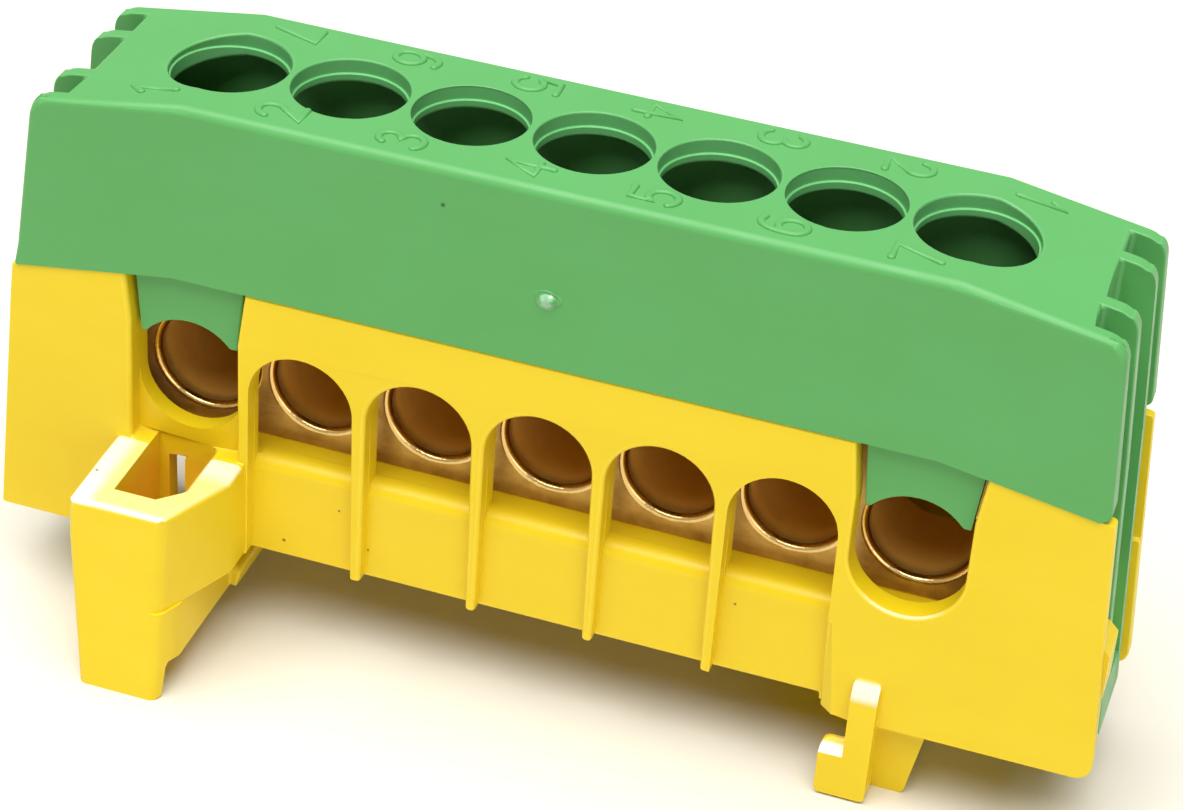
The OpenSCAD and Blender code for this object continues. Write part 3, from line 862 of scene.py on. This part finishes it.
class TERMINAL_OT_base(bpy.types.Operator):
    """Yellow base moulding, its latch foot cut to a lip and its edges rounded."""

    bl_idname = "terminal.base"
    bl_label = "Base moulding"

    def execute(self, context):
        sizes, colours = context.scene.terminal_sizes, context.scene.terminal_finish
        finish = moulded("yellow_moulding", colours.yellow, colours.yellow_deep, BASE_SPECKS, colours.dirt,
                         lambda made, cloud: [(latch_glow(made), colours.glow),
                                              (base_painted_highlights(made, cloud), colours.painted_highlight)])

        def wanted(edge):
            spot = middle(edge)
            foot = spot.y < BASE_LO.y / MM + FOOT_DEPTH or spot.z < FOOT_HEIGHT
            return (sizes.foot_round if foot else sizes.edge_round) / MM

        lip = [[Vector((x, y, z)) for y, z in LIP_WASTE] for x in LIP_ACROSS]
        data = carved(welded("base"), [lip] + [edge_prism(*edge, 1) for edge in BASE_CHAMFERS])
        data = carved(data, [edge_prism(*edge) for edge in BASE_EDGES])
        piece = shell("base_moulding", rounded(data, wanted, finish), "base")
        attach(piece, BODY)
        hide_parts("base")
        return {"FINISHED"}


class TERMINAL_OT_cover(bpy.types.Operator):
    """Green cover moulding, its top lowered by the rise of the digits."""

    bl_idname = "terminal.cover"
    bl_label = "Cover moulding"

    def execute(self, context):
        sizes, colours = context.scene.terminal_sizes, context.scene.terminal_finish
        finish = moulded("green_moulding", colours.green, colours.green_deep, COVER_SPECKS, colours.shade,
                         lambda made, cloud: zip(hole_masks(made, COVER_HI.z),
                                                 (colours.hole_rim_light, colours.shade)))
        top = COVER_HI.z / MM

        def wanted(edge):
            spot = middle(edge)
            outer = spot.z > top - RIM_DEPTH and abs(spot.y - ROW_Y / MM) > RIM_OUT
            return (sizes.cover_round if outer else sizes.edge_round) / MM

        data = carved(welded("cover"), [edge_prism(*cover_edge())])
        for vert in data.vertices:
            if vert.co.z > top - TOP_DEPTH:
                vert.co.z -= sizes.digit_rise / MM
        piece = shell("cover_moulding", rounded(data, wanted, finish), "cover")
        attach(piece, BODY)
        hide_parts("cover")
        return {"FINISHED"}


def arc(cx, cy, rx, ry, start, end, count):
    """Points on part of an ellipse, angles in degrees."""
    return [(cx + rx * math.cos(math.radians(start + (end - start) * k / count)),
             cy + ry * math.sin(math.radians(start + (end - start) * k / count)))
            for k in range(count + 1)]


# Strokes of each digit in a box one wide and one high
DIGITS = {
    "1": [[(0.3, 0.74), (0.62, 1.0), (0.62, 0.0)]],
    "2": [arc(0.5, 0.71, 0.47, 0.29, 168, -38, 12) + [(0.05, 0.0), (1.0, 0.0)]],
    "3": [arc(0.45, 0.76, 0.42, 0.24, 155, -90, 12) + arc(0.45, 0.26, 0.5, 0.26, 90, -155, 14)[1:]],
    "4": [[(0.72, 0.0), (0.72, 1.0), (0.0, 0.32), (1.0, 0.32)]],
    "5": [[(0.92, 1.0), (0.14, 1.0), (0.08, 0.52)] + arc(0.47, 0.32, 0.5, 0.32, 135, -150, 16)],
    "6": [[(0.86, 0.95)] + arc(0.55, 0.48, 0.53, 0.52, 80, 180, 8)
          + arc(0.5, 0.31, 0.48, 0.31, 180, 540, 24)],
    "7": [[(0.0, 1.0), (1.0, 1.0), (0.34, 0.0)]],
}
# The digits of each row with their place across, and how far back the rows lie, in millimetres
FRONT_DIGITS = [("1", -22.15), ("2", -15.25), ("3", -8.8), ("4", -2.12), ("5", 4.35), ("6", 10.85),
                ("7", 17.5)]
BACK_DIGITS = [("7", -17.6), ("6", -11.0), ("5", -4.5), ("4", 2.03), ("3", 8.57), ("2", 15.15),
               ("1", 21.9)]
FRONT_ROW_Y = 0.05
BACK_ROW_Y = 8.05
# Gate mark: its middle in millimetres, the way it faces, its width and height against its radius
GATE_PLACE = (-0.12, -2.09, 25.68)
GATE_FACING = (0.0, -1.0, 0.07)
GATE_WIDTH = 1.15
GATE_HEIGHT = 0.85
# Share of the radius and rise of each ring of the gate mark; from the torn ring on, its rise is uneven
GATE_PROFILE = [(1.0, -0.1), (1.0, 0.0), (0.96, 0.03), (0.86, 0.035), (0.76, 0.005), (0.62, 0.01),
                (0.55, 0.13), (0.4, 0.2), (0.15, 0.22)]
GATE_TORN_RING = 6
# Pale middle and painted white highlight of the gate mark: way from its middle and radius in millimetres
GATE_PALE = ((-0.03, 0.0, -0.1), 0.5)
GATE_PAINTED_GLINT = ((0.18, 0.0, 0.16), 0.17)
GATE_SIDES = 28


def new_tree(name, inputs):
    """A geometry node tree with named inputs; gives the tree, its pen, its inputs and their identifiers."""
    tree = bpy.data.node_groups.new(name, "GeometryNodeTree")
    tree.interface.new_socket("Geometry", in_out="INPUT", socket_type="NodeSocketGeometry")
    names = {}
    for label, kind in inputs:
        socket = tree.interface.new_socket(label, in_out="INPUT", socket_type="NodeSocket" + kind)
        names[label] = socket.identifier
    tree.interface.new_socket("Geometry", in_out="OUTPUT", socket_type="NodeSocketGeometry")
    pen = Field(tree)
    source = tree.nodes.new("NodeGroupInput")
    fields = {label: Field(tree, source.outputs[label]) for label, _ in inputs}
    fields["Geometry"] = Field(tree, source.outputs["Geometry"])
    return tree, pen, fields, names


def end_tree(tree, pen, shape, material):
    """Ends a tree in plain faces with a material."""
    real = pen.node("GeometryNodeRealizeInstances", {}, {"Geometry": shape})
    done = pen.node("GeometryNodeSetMaterial", {}, {"Geometry": real, "Material": material})
    sink = tree.nodes.new("NodeGroupOutput")
    tree.links.new(done.socket, sink.inputs["Geometry"])


def grown(name, data, tree, names, values):
    """The mesh that a geometry node tree makes of a mesh, with the tree's inputs set."""
    piece = placed(name, data)
    form = piece.modifiers.new(tree.name, "NODES")
    form.node_group = tree
    for label, value in values.items():
        form[names[label]] = value
    done = baked(piece)
    outward(done)
    done.shade_smooth()
    return done


def digit_tree():
    """Round bars along the strokes, flattened, with round ends, laid on the cover's top."""
    tree, pen, put, names = new_tree("raised digits", [
        ("Stroke width", "Float"), ("Rise", "Float"), ("Top", "Float"), ("Bend", "Float"), ("Fall", "Float"),
        ("Finish", "Material")])
    half = put["Stroke width"] * 0.5
    line = pen.node("GeometryNodeMeshToCurve", {}, {"Mesh": put["Geometry"]})
    ring = pen.node("GeometryNodeCurvePrimitiveCircle", {}, {"Resolution": 12, "Radius": half})
    bars = pen.node("GeometryNodeCurveToMesh", {}, {"Curve": line, "Profile Curve": ring, "Fill Caps": True})
    ends = pen.node("GeometryNodeCurveEndpointSelection", {}, {"Start Size": 1, "End Size": 1})
    ball = pen.node("GeometryNodeMeshUVSphere", {}, {"Segments": 12, "Rings": 8, "Radius": half})
    balls = pen.node("GeometryNodeInstanceOnPoints", {}, {
        "Points": line, "Selection": ends, "Instance": ball})
    shape = pen.node("GeometryNodeJoinGeometry", {}, {"Geometry": [bars, balls]})
    shape = pen.node("GeometryNodeRealizeInstances", {}, {"Geometry": shape})
    x, y, z = pen.node("GeometryNodeInputPosition").parts()
    past = x.math("ABSOLUTE", x) - put["Bend"]
    slope = past.math("MAXIMUM", past, 0.0)
    flat = z * put["Rise"] / half + put["Top"] - slope * put["Fall"]
    shape = pen.node("GeometryNodeSetPosition", {}, {"Geometry": shape, "Position": pen.vector(x, y, flat)})
    end_tree(tree, pen, shape, put["Finish"])
    return tree, names


def stroke_lines(height, width):
    """Edges of every digit's strokes, in metres, flat on the row's plane."""
    points, edges = [], []
    rows = [(FRONT_DIGITS, FRONT_ROW_Y, -1.0), (BACK_DIGITS, BACK_ROW_Y, 1.0)]
    for digits, row_y, up in rows:
        for digit, centre in digits:
            for stroke in DIGITS[digit]:
                start = len(points)
                for across, high in stroke:
                    points.append((centre * MM + up * (high - 0.5) * height,
                                   row_y * MM - up * (across - 0.5) * width, 0.0))
                edges += [(k, k + 1) for k in range(start, len(points) - 1)]
    return points, edges


class TERMINAL_OT_digits(bpy.types.Operator):
    """Raised digits in two rows on the cover's top."""

    bl_idname = "terminal.digits"
    bl_label = "Cover digits"

    def execute(self, context):
        sizes = context.scene.terminal_sizes
        points, edges = stroke_lines(sizes.digit_height, sizes.digit_width)
        lines = bpy.data.meshes.new("digit_strokes")
        lines.from_pydata(points, edges, [])
        tree, names = digit_tree()
        data = grown("digit_strokes", lines, tree, names, {
            "Stroke width": sizes.digit_stroke, "Rise": sizes.digit_rise,
            "Top": COVER_HI.z - sizes.digit_rise, "Bend": TOP_BEND * MM, "Fall": TOP_FALL,
            "Finish": bpy.data.materials["green_moulding"]})
        digits = placed("cover_digits", data)
        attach(digits, BODY)
        return {"FINISHED"}


def outward(data):
    """Merges doubles and turns every face outwards."""
    mesh = bmesh.new()
    mesh.from_mesh(data)
    bmesh.ops.remove_doubles(mesh, verts=mesh.verts, dist=1e-7)
    bmesh.ops.recalc_face_normals(mesh, faces=mesh.faces)
    mesh.to_mesh(data)
    mesh.free()


def torn_gate_and_glint(name, colours, centre):
    """Torn green plastic: pale in the middle, with a painted white highlight on one side."""
    finish = Finish(name, IOR=1.46, Roughness=0.3)
    tone = rgba(colours.green)
    # The pale middle is the torn plastic; the white spot is a painted highlight
    for (way, radius), colour, share in ((GATE_PALE, colours.gate, 0.75), (GATE_PAINTED_GLINT, (1.0, 1.0, 1.0), 1.0)):
        spot = finish.spot(tuple(centre + Vector(way) * MM), radius * MM)
        tone = (spot * share).mix(tone, rgba(colour))
    finish.feed("Base Color", tone)
    finish.bump(finish.noise(2600.0, 2.0, 0.5), 0.00002, 0.6)
    return finish.material


class TERMINAL_OT_gate(bpy.types.Operator):
    """Small broken gate mark in the middle of the cover's front."""

    bl_idname = "terminal.gate"
    bl_label = "Gate mark"

    def execute(self, context):
        radius = context.scene.terminal_sizes.gate_radius
        centre = Vector(GATE_PLACE) * MM
        out = Vector(GATE_FACING).normalized()
        right = Vector(RIGHT)
        up = out.cross(right)
        points, faces = [], []
        for ring, (share, rise) in enumerate(GATE_PROFILE):
            uneven = 0.35 if ring >= GATE_TORN_RING else 0.1
            for k in range(GATE_SIDES):
                turn = math.tau * k / GATE_SIDES
                rough = 1.0 + 0.1 * math.sin(3 * turn + 0.7) + 0.06 * math.sin(5 * turn + ring)
                tear = 1.0 + uneven * math.sin(2 * turn + 1.2)
                flat = right * math.cos(turn) * GATE_WIDTH + up * math.sin(turn) * GATE_HEIGHT
                points.append(centre + flat * radius * share * rough + out * rise * MM * tear)
        for ring in range(len(GATE_PROFILE) - 1):
            for k in range(GATE_SIDES):
                a, b = ring * GATE_SIDES + k, ring * GATE_SIDES + (k + 1) % GATE_SIDES
                faces.append((a, b, b + GATE_SIDES, a + GATE_SIDES))
        faces.append([(len(GATE_PROFILE) - 1) * GATE_SIDES + k for k in range(GATE_SIDES)])
        faces.append(list(reversed(range(GATE_SIDES))))
        data = bpy.data.meshes.new("gate_mark")
        data.from_pydata(points, [], faces)
        data.materials.append(torn_gate_and_glint("torn_gate_and_glint", context.scene.terminal_finish, centre))
        outward(data)
        data.shade_smooth()
        mark = placed("gate_mark", data)
        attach(mark, BODY)
        return {"FINISHED"}


# How far a bore's flat walls stray from its circle, and a face from its plane, in millimetres
WALL_SLACK = 0.25
PLANE_SLACK = 0.01


def bore_places():
    """Middle x, z and radius of each wire bore, in millimetres."""
    places = []
    for mount in frame["record"]["mounts"]:
        if mount["name"].startswith("wire_"):
            x, _, z = mount["pos_m"]
            places.append((x / MM, z / MM, mount["dims"]["r_mm"]))
    return places


def on_wall(face, x, z, radius):
    """Whether a face lies on the wall of a bore."""
    return all(abs(math.hypot(v.co.x - x, v.co.z - z) - radius) < WALL_SLACK for v in face.verts)


def countersunk(data, depth):
    """Cuts a chamfer round both mouths of each wire bore."""
    mesh = bmesh.new()
    mesh.from_mesh(data)
    mark = mesh.faces.layers.float.new("edge_round")
    for face_y, inward in ((BAR_LO.y / MM, 1.0), (BAR_HI.y / MM, -1.0)):
        for x, z, radius in bore_places():
            wall = [f for f in mesh.faces if on_wall(f, x, z, radius)]
            rim = {v for f in wall for v in f.verts if abs(v.co.y - face_y) < PLANE_SLACK}
            parts = set(wall) | {e for f in wall for e in f.edges} | {v for f in wall for v in f.verts}
            bmesh.ops.bisect_plane(mesh, geom=list(parts), dist=1e-4,
                                   plane_co=(0, face_y + inward * depth, 0), plane_no=(0, inward, 0))
            for vert in rim:
                vert.co += Vector((vert.co.x - x, 0, vert.co.z - z)).normalized() * depth
                for face in vert.link_faces:
                    away = [abs(v.co.y - face_y) for v in face.verts]
                    if depth / 2 < max(away) < depth + PLANE_SLACK:
                        face[mark] = 1.0
    done = bpy.data.meshes.new(data.name)
    mesh.to_mesh(done)
    mesh.free()
    return done


class TERMINAL_OT_bar(bpy.types.Operator):
    """Brass bar with chamfered bores and broken edges."""

    bl_idname = "terminal.bar"
    bl_label = "Brass bar"

    def execute(self, context):
        sizes, colours = context.scene.terminal_sizes, context.scene.terminal_finish
        finish = sawn_brass("sawn_brass", colours)
        data = countersunk(welded("terminal_bar"), sizes.bore_chamfer / MM)
        data = rounded(data, lambda edge: sizes.bar_round / MM, finish, angle=58, segments=2)
        piece = shell("brass_bar", data, "terminal_bar")
        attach(piece, BODY)
        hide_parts("terminal_bar")
        return {"FINISHED"}


# Clamp screws: sides and rows of the sheet
SCREW_SIDES = 48
SCREW_ROWS = 96
# Chamfer at the top, in metres, and steepness and flat crest of the thread
SCREW_TOP_CHAMFER = 0.00025
THREAD_STEEP = 1.35
THREAD_CREST = 0.1
# Shares of the length between which the thread runs out, and turns of the slots in degrees
THREAD_END = (0.93, 0.985)
SLOT_TURNS = [12, -34, 61, 5, -72, 28, -15]


def screw_tree():
    """A threaded rod with a chamfered tip and a slot, from a sheet wrapped round its axis."""
    tree, pen, put, names = new_tree("clamp screw", [
        ("Radius", "Float"), ("Length", "Float"), ("Tip", "Float"), ("Pitch", "Float"), ("Depth", "Float"),
        ("Slot width", "Float"), ("Slot depth", "Float"), ("Place", "Vector"), ("Turn", "Float"),
        ("Finish", "Material")])
    sheet = pen.node("GeometryNodeMeshGrid", {}, {
        "Size X": 1.0, "Size Y": 1.0, "Vertices X": SCREW_SIDES + 1, "Vertices Y": SCREW_ROWS})
    across, along, _ = pen.node("GeometryNodeInputPosition").parts()
    u = across + 0.5
    row = (along + 0.5) * (SCREW_ROWS - 1.0)
    high = ((row - 1.0) / (SCREW_ROWS - 3.0)).clamp(0.0, 1.0) * put["Length"]
    phase = u.math("FRACT", high / put["Pitch"] - u)
    ridge = u.math("ABSOLUTE", phase * 2.0 - 1.0)
    groove = (ridge * THREAD_STEEP - THREAD_CREST).clamp(0.0, 1.0)
    start, end = (put["Length"] * share for share in THREAD_END)
    thread = put["Radius"] - put["Depth"] * groove * high.step(start, end, 1.0, 0.0)
    cone = put["Radius"] - put["Tip"] + high
    rim = put["Radius"] - SCREW_TOP_CHAMFER + (put["Length"] - high)
    radius = u.math("MINIMUM", u.math("MINIMUM", thread, cone), rim)
    shut = u.math("GREATER_THAN", row, 0.5) * u.math("LESS_THAN", row, SCREW_ROWS - 1.5)
    angle = u * math.tau
    spot = pen.vector(u.math("COSINE", angle) * radius * shut, u.math("SINE", angle) * radius * shut, high)
    rod = pen.node("GeometryNodeSetPosition", {}, {"Geometry": sheet, "Position": spot})
    rod = pen.node("GeometryNodeMergeByDistance", {}, {"Geometry": rod, "Distance": 1e-6})
    size = pen.vector(put["Slot width"], put["Radius"] * 4.0, put["Slot depth"] * 2.0)
    block = pen.node("GeometryNodeMeshCube", {}, {"Size": size})
    lift = pen.vector(0.0, 0.0, put["Length"])
    block = pen.node("GeometryNodeTransform", {}, {"Geometry": block, "Translation": lift})
    cut = pen.node("GeometryNodeMeshBoolean", {"operation": "DIFFERENCE", "solver": "EXACT"},
                   {"Mesh 1": rod, "Mesh 2": block})
    spin = pen.vector(0.0, 0.0, put["Turn"])
    cut = pen.node("GeometryNodeTransform", {}, {
        "Geometry": cut, "Translation": put["Place"], "Rotation": spin})
    end_tree(tree, pen, cut, put["Finish"])
    return tree, names


class TERMINAL_OT_screws(bpy.types.Operator):
    """Slotted clamp screws with threads, one for each wire bore."""

    bl_idname = "terminal.screws"
    bl_label = "Clamp screws"

    def execute(self, context):
        sizes, colours = context.scene.terminal_sizes, context.scene.terminal_finish
        finish = plated_steel("plated_screw", colours)
        tree, names = screw_tree()
        for way in range(1, WAYS + 1):
            node = f"clamp_screw_{way}"
            lo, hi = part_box(node)
            sheet = f"screw_sheet_{way}"
            data = grown(sheet, bpy.data.meshes.new(sheet), tree, names, {
                "Radius": (hi.x - lo.x) / 2, "Length": hi.z - lo.z, "Tip": sizes.screw_tip,
                "Pitch": sizes.thread_pitch, "Depth": sizes.thread_depth,
                "Slot width": sizes.slot_width, "Slot depth": sizes.slot_depth,
                "Place": ((lo.x + hi.x) / 2, (lo.y + hi.y) / 2, lo.z),
                "Turn": math.radians(SLOT_TURNS[way - 1]), "Finish": finish})
            data.set_sharp_from_angle(angle=math.radians(40))
            screw = placed(f"threaded_screw_{way}", data)
            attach(screw, f"screw_{way}")
            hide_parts(node)
        return {"FINISHED"}


# Colour of the lights, and the share of the room that reflections show
LIGHT_COLOUR = (1.0, 0.99, 0.97)
REFLECTED_ROOM = 0.6
# Half the floor's size in metres, the camera's sensor in millimetres and its nearest view in metres
FLOOR_HALF = 2.0
SENSOR_WIDTH = 36.0
NEAREST_VIEW = 0.005


def far_light(name, strength, angle, source):
    """A far light that fills an angle, from a direction."""
    data = bpy.data.lights.new(name, "SUN")
    data.energy = strength
    data.angle = angle
    data.color = LIGHT_COLOUR
    lamp = bpy.data.objects.new(name, data)
    lamp.rotation_euler = (-Vector(source)).to_track_quat("-Z", "Y").to_euler()
    bpy.context.scene.collection.objects.link(lamp)


class TERMINAL_OT_studio(bpy.types.Operator):
    """Pale floor, even room light, two soft lights and the camera."""

    bl_idname = "terminal.studio"
    bl_label = "Studio"

    def execute(self, context):
        studio = context.scene.terminal_studio
        scene = context.scene
        scene.view_settings.view_transform = "Standard"
        floor_data = bpy.data.meshes.new("studio_floor")
        corners = [(-1, -1), (1, -1), (1, 1), (-1, 1)]
        floor_data.from_pydata([(x * FLOOR_HALF, y * FLOOR_HALF, 0) for x, y in corners], [], [(0, 1, 2, 3)])
        floor = placed("studio_floor", floor_data)
        finish = Finish("pale_table", Roughness=0.9, Specular_IOR_Level=0.0)
        shade = finish.noise(60.0, 3.0, 0.5)
        dim = tuple(c * 0.985 for c in studio.floor)
        finish.feed("Base Color", shade.mix(rgba(studio.floor), rgba(dim)))
        floor_data.materials.append(finish.material)

        world = bpy.data.worlds.new("even_room")
        world.use_nodes = True
        world.node_tree.nodes.clear()
        pen = Field(world.node_tree)
        path = pen.node("ShaderNodeLightPath").socket.node
        direct, glossy, through = (Field(world.node_tree, path.outputs[f"Is {kind} Ray"])
                                   for kind in ("Camera", "Glossy", "Transmission"))
        seen = pen.math("MAXIMUM", pen.math("MAXIMUM", direct, glossy * REFLECTED_ROOM), through)
        strength = seen * (1.0 - studio.sky) + studio.sky
        back = pen.node("ShaderNodeBackground", {}, {"Color": (1.0, 1.0, 1.0, 1.0), "Strength": strength})
        sink = world.node_tree.nodes.new("ShaderNodeOutputWorld")
        world.node_tree.links.new(back.socket, sink.inputs["Surface"])
        scene.world = world

        far_light("overhead_light", studio.overhead, studio.overhead_spread, studio.overhead_from)
        far_light("window_light", studio.window, studio.window_spread, studio.window_from)

        eye_data = bpy.data.cameras.new("photo_camera")
        eye_data.sensor_width = SENSOR_WIDTH
        eye_data.lens = studio.lens
        eye_data.clip_start = NEAREST_VIEW
        eye = bpy.data.objects.new("photo_camera", eye_data)
        eye.location = studio.eye
        eye.rotation_euler = studio.turn
        scene.collection.objects.link(eye)
        scene.camera = eye
        return {"FINISHED"}


class TERMINAL_PT_pieces(bpy.types.Panel):
    """Sidebar list of the pieces."""

    bl_idname = "TERMINAL_PT_pieces"
    bl_label = "Terminal block"
    bl_space_type = "VIEW_3D"
    bl_region_type = "UI"
    bl_category = "Terminal"

    def draw(self, context):
        for piece in PIECES:
            self.layout.operator(piece.bl_idname)
        for group in ("terminal_sizes", "terminal_finish", "terminal_studio"):
            box = self.layout.box()
            values = getattr(context.scene, group)
            for key in values.bl_rna.properties.keys():
                if key not in ("rna_type", "name"):
                    box.prop(values, key)


PIECES = [TERMINAL_OT_base, TERMINAL_OT_cover, TERMINAL_OT_digits, TERMINAL_OT_gate, TERMINAL_OT_bar,
          TERMINAL_OT_screws, TERMINAL_OT_studio]
CLASSES = [TerminalSizes, TerminalFinish, TerminalStudio, *PIECES, TERMINAL_PT_pieces]


def register():
    for kind in CLASSES:
        bpy.utils.register_class(kind)
    bpy.types.Scene.terminal_sizes = bpy.props.PointerProperty(type=TerminalSizes)
    bpy.types.Scene.terminal_finish = bpy.props.PointerProperty(type=TerminalFinish)
    bpy.types.Scene.terminal_studio = bpy.props.PointerProperty(type=TerminalStudio)


def unregister():
    del bpy.types.Scene.terminal_studio
    del bpy.types.Scene.terminal_finish
    del bpy.types.Scene.terminal_sizes
    for kind in reversed(CLASSES):
        bpy.utils.unregister_class(kind)


def main():
    register()
    bpy.ops.terminal.base()
    bpy.ops.terminal.cover()
    bpy.ops.terminal.digits()
    bpy.ops.terminal.gate()
    bpy.ops.terminal.bar()
    bpy.ops.terminal.screws()
    bpy.ops.terminal.studio()


if __name__ == "__main__":
    main()
